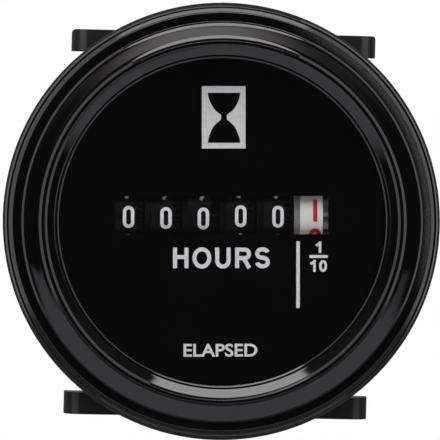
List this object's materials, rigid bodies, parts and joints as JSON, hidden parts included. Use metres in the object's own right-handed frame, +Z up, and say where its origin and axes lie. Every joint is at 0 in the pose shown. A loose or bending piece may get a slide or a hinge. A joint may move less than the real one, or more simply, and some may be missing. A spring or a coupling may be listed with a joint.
{
  "type": "hour meter",
  "caption": "Round panel-mount hour meter with a stepped bezel, clear lens and drum counter for hours and tenths, held by a U-shaped clamping bracket.",
  "frame": {"origin": "on the meter's axis, in the plane where the flange seats on the panel", "axes": "dial faces -Y, rear is +Y, +X is right as seen from the front, +Z is up"},
  "size_m": [0.0592, 0.0432, 0.0592],
  "materials": {
    "bezel": "polished black",
    "lens": "clear",
    "gasket": "matt",
    "dial": "flat black",
    "case": "satin black",
    "bracket": "satin black",
    "steel": "zinc plated",
    "terminal": "tin plated",
    "frame": "moulded",
    "black_wheel": "satin black",
    "white_wheel": "satin white",
    "gear": "natural acetal",
    "magnet": "ferrite",
    "iron": "annealed",
    "copper": "enamelled copper",
    "board": "solder mask",
    "chip": "moulded",
    "can": "sleeved",
    "resistor": "lacquered"
  },
  "bodies": {
    "housing": {"bezel": "bezel", "lens": "lens", "lens_gasket": "gasket", "dial": "dial", "case": "case", "bracket": "bracket", "studs": "steel", "washers": "steel", "nuts": "steel", "terminal_positive": "terminal", "terminal_negative": "terminal", "counter_frame": "frame", "train_bridge": "frame", "bridge_screws": "steel", "wheel_shaft": "steel", "pinion_shaft": "steel", "wheel_spacer": "gear", "pinion_spacer": "gear", "stator": "iron", "motor_screws": "steel", "coil_core": "iron", "coil_bobbin": "gear", "coil_winding": "copper", "circuit_board": "board", "controller_chip": "chip", "quartz_crystal": "steel", "capacitor": "can", "resistor": "resistor", "diode": "chip"},
    "ten_thousands_wheel": {"ten_thousands_wheel": "black_wheel"},
    "thousands_wheel": {"thousands_wheel": "black_wheel"},
    "hundreds_wheel": {"hundreds_wheel": "black_wheel"},
    "tens_wheel": {"tens_wheel": "black_wheel"},
    "units_wheel": {"units_wheel": "black_wheel"},
    "tenths_wheel": {"tenths_wheel": "white_wheel"},
    "carry_pinion_1": {"carry_pinion_1": "gear"},
    "carry_pinion_2": {"carry_pinion_2": "gear"},
    "carry_pinion_3": {"carry_pinion_3": "gear"},
    "carry_pinion_4": {"carry_pinion_4": "gear"},
    "carry_pinion_5": {"carry_pinion_5": "gear"},
    "third_wheel": {"third_wheel": "gear"},
    "second_wheel": {"second_wheel": "gear"},
    "rotor": {"rotor_pinion": "gear", "rotor_magnet": "magnet"}
  },
  "joints": [
    {"name": "ten_thousands_wheel_turn", "type": "hinge", "parent": "housing", "child": "ten_thousands_wheel", "pos_m": [0, 0.0062, 0.00086], "axis": [-1, 0, 0], "continuous": true},
    {"name": "thousands_wheel_turn", "type": "hinge", "parent": "housing", "child": "thousands_wheel", "pos_m": [0, 0.0062, 0.00086], "axis": [-1, 0, 0], "continuous": true},
    {"name": "hundreds_wheel_turn", "type": "hinge", "parent": "housing", "child": "hundreds_wheel", "pos_m": [0, 0.0062, 0.00086], "axis": [-1, 0, 0], "continuous": true},
    {"name": "tens_wheel_turn", "type": "hinge", "parent": "housing", "child": "tens_wheel", "pos_m": [0, 0.0062, 0.00086], "axis": [-1, 0, 0], "continuous": true},
    {"name": "units_wheel_turn", "type": "hinge", "parent": "housing", "child": "units_wheel", "pos_m": [0, 0.0062, 0.00086], "axis": [-1, 0, 0], "continuous": true},
    {"name": "tenths_wheel_turn", "type": "hinge", "parent": "housing", "child": "tenths_wheel", "pos_m": [0, 0.0062, 0.00086], "axis": [-1, 0, 0], "continuous": true},
    {"name": "carry_pinion_1_turn", "type": "hinge", "parent": "housing", "child": "carry_pinion_1", "pos_m": [0, 0.00991, 0.00728], "axis": [-1, 0, 0], "continuous": true},
    {"name": "carry_pinion_2_turn", "type": "hinge", "parent": "housing", "child": "carry_pinion_2", "pos_m": [0, 0.00991, 0.00728], "axis": [-1, 0, 0], "continuous": true},
    {"name": "carry_pinion_3_turn", "type": "hinge", "parent": "housing", "child": "carry_pinion_3", "pos_m": [0, 0.00991, 0.00728], "axis": [-1, 0, 0], "continuous": true},
    {"name": "carry_pinion_4_turn", "type": "hinge", "parent": "housing", "child": "carry_pinion_4", "pos_m": [0, 0.00991, 0.00728], "axis": [-1, 0, 0], "continuous": true},
    {"name": "carry_pinion_5_turn", "type": "hinge", "parent": "housing", "child": "carry_pinion_5", "pos_m": [0, 0.00991, 0.00728], "axis": [-1, 0, 0], "continuous": true},
    {"name": "third_wheel_turn", "type": "hinge", "parent": "housing", "child": "third_wheel", "pos_m": [0, 0.00874, -0.00611], "axis": [-1, 0, 0], "continuous": true},
    {"name": "second_wheel_turn", "type": "hinge", "parent": "housing", "child": "second_wheel", "pos_m": [0, 0.01327, -0.004], "axis": [-1, 0, 0], "continuous": true},
    {"name": "rotor_turn", "type": "hinge", "parent": "housing", "child": "rotor", "pos_m": [0, 0.01288, -0.00846], "axis": [-1, 0, 0], "continuous": true}
  ],
  "couplings": [
    {"joint": "ten_thousands_wheel_turn", "follows": "tenths_wheel_turn", "ratio": 0.00001},
    {"joint": "thousands_wheel_turn", "follows": "tenths_wheel_turn", "ratio": 0.0001},
    {"joint": "hundreds_wheel_turn", "follows": "tenths_wheel_turn", "ratio": 0.001},
    {"joint": "tens_wheel_turn", "follows": "tenths_wheel_turn", "ratio": 0.01},
    {"joint": "units_wheel_turn", "follows": "tenths_wheel_turn", "ratio": 0.1},
    {"joint": "carry_pinion_1_turn", "follows": "tenths_wheel_turn", "ratio": -0.000025},
    {"joint": "carry_pinion_2_turn", "follows": "tenths_wheel_turn", "ratio": -0.00025},
    {"joint": "carry_pinion_3_turn", "follows": "tenths_wheel_turn", "ratio": -0.0025},
    {"joint": "carry_pinion_4_turn", "follows": "tenths_wheel_turn", "ratio": -0.025},
    {"joint": "carry_pinion_5_turn", "follows": "tenths_wheel_turn", "ratio": -0.25},
    {"joint": "third_wheel_turn", "follows": "tenths_wheel_turn", "ratio": -2.5},
    {"joint": "second_wheel_turn", "follows": "tenths_wheel_turn", "ratio": 10},
    {"joint": "rotor_turn", "follows": "tenths_wheel_turn", "ratio": -60}
  ]
}
